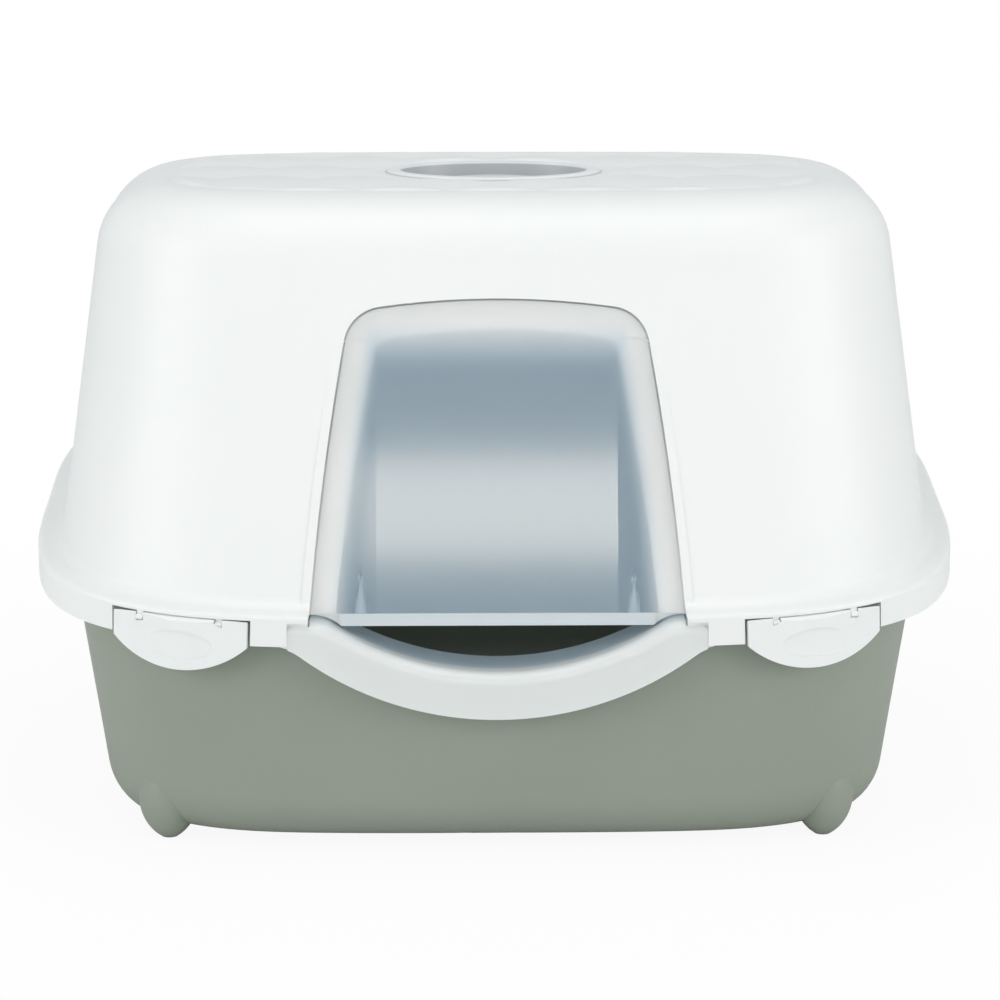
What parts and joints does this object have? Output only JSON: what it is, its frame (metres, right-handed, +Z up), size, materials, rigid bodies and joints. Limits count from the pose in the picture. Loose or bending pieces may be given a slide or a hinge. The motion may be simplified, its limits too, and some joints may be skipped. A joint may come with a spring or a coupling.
{
  "type": "covered litter box",
  "caption": "Covered litter box: a deep tray under a lift-off hood held by rim clips, with a swinging frosted flap, an entry sill and a carry handle recessed in the top.",
  "frame": {"origin": "on the floor, under the middle of the rim", "axes": "+Z up, -Y towards the entry, +X to the right seen from the entry"},
  "size_m": [0.5602, 0.4001, 0.384],
  "materials": {
    "tray_plastic": "matte grey-green, fine grained",
    "hood_plastic": "satin white",
    "flap_plastic": "frosted, translucent",
    "sill_plastic": "frosted, translucent",
    "clip_plastic": "satin white"
  },
  "bodies": {
    "tray": {"tray": "tray_plastic"},
    "hood": {"hood": "hood_plastic", "entry_sill": "sill_plastic", "handle_bowl": "hood_plastic", "carry_handle": "hood_plastic"},
    "flap": {"flap": "flap_plastic"},
    "clip_front_left": {"clip_front_left": "clip_plastic"},
    "clip_front_right": {"clip_front_right": "clip_plastic"},
    "clip_rear_left": {"clip_rear_left": "clip_plastic"},
    "clip_rear_right": {"clip_rear_right": "clip_plastic"}
  },
  "joints": [
    {"name": "hood_lift", "type": "slide", "parent": "tray", "child": "hood", "axis": [0, 0, 1], "range_m": [0, 0.25]},
    {"name": "flap_swing", "type": "hinge", "parent": "hood", "child": "flap", "pos_m": [0, -0.14007, 0.30221], "axis": [-1, 0, 0], "range_deg": [0, 75]},
    {"name": "clip_front_left_turn", "type": "hinge", "parent": "hood", "child": "clip_front_left", "pos_m": [-0.18371, -0.18577, 0.14728], "axis": [-0.964, 0.2634, 0.0356], "range_deg": [0, 60]},
    {"name": "clip_front_right_turn", "type": "hinge", "parent": "hood", "child": "clip_front_right", "pos_m": [0.18371, -0.18577, 0.14728], "axis": [-0.964, -0.2634, -0.0356], "range_deg": [0, 60]},
    {"name": "clip_rear_left_turn", "type": "hinge", "parent": "hood", "child": "clip_rear_left", "pos_m": [-0.18327, 0.18589, 0.19793], "axis": [0.964, 0.2634, 0.0356], "range_deg": [0, 60]},
    {"name": "clip_rear_right_turn", "type": "hinge", "parent": "hood", "child": "clip_rear_right", "pos_m": [0.18327, 0.18589, 0.19793], "axis": [0.964, -0.2634, -0.0356], "range_deg": [0, 60]}
  ]
}
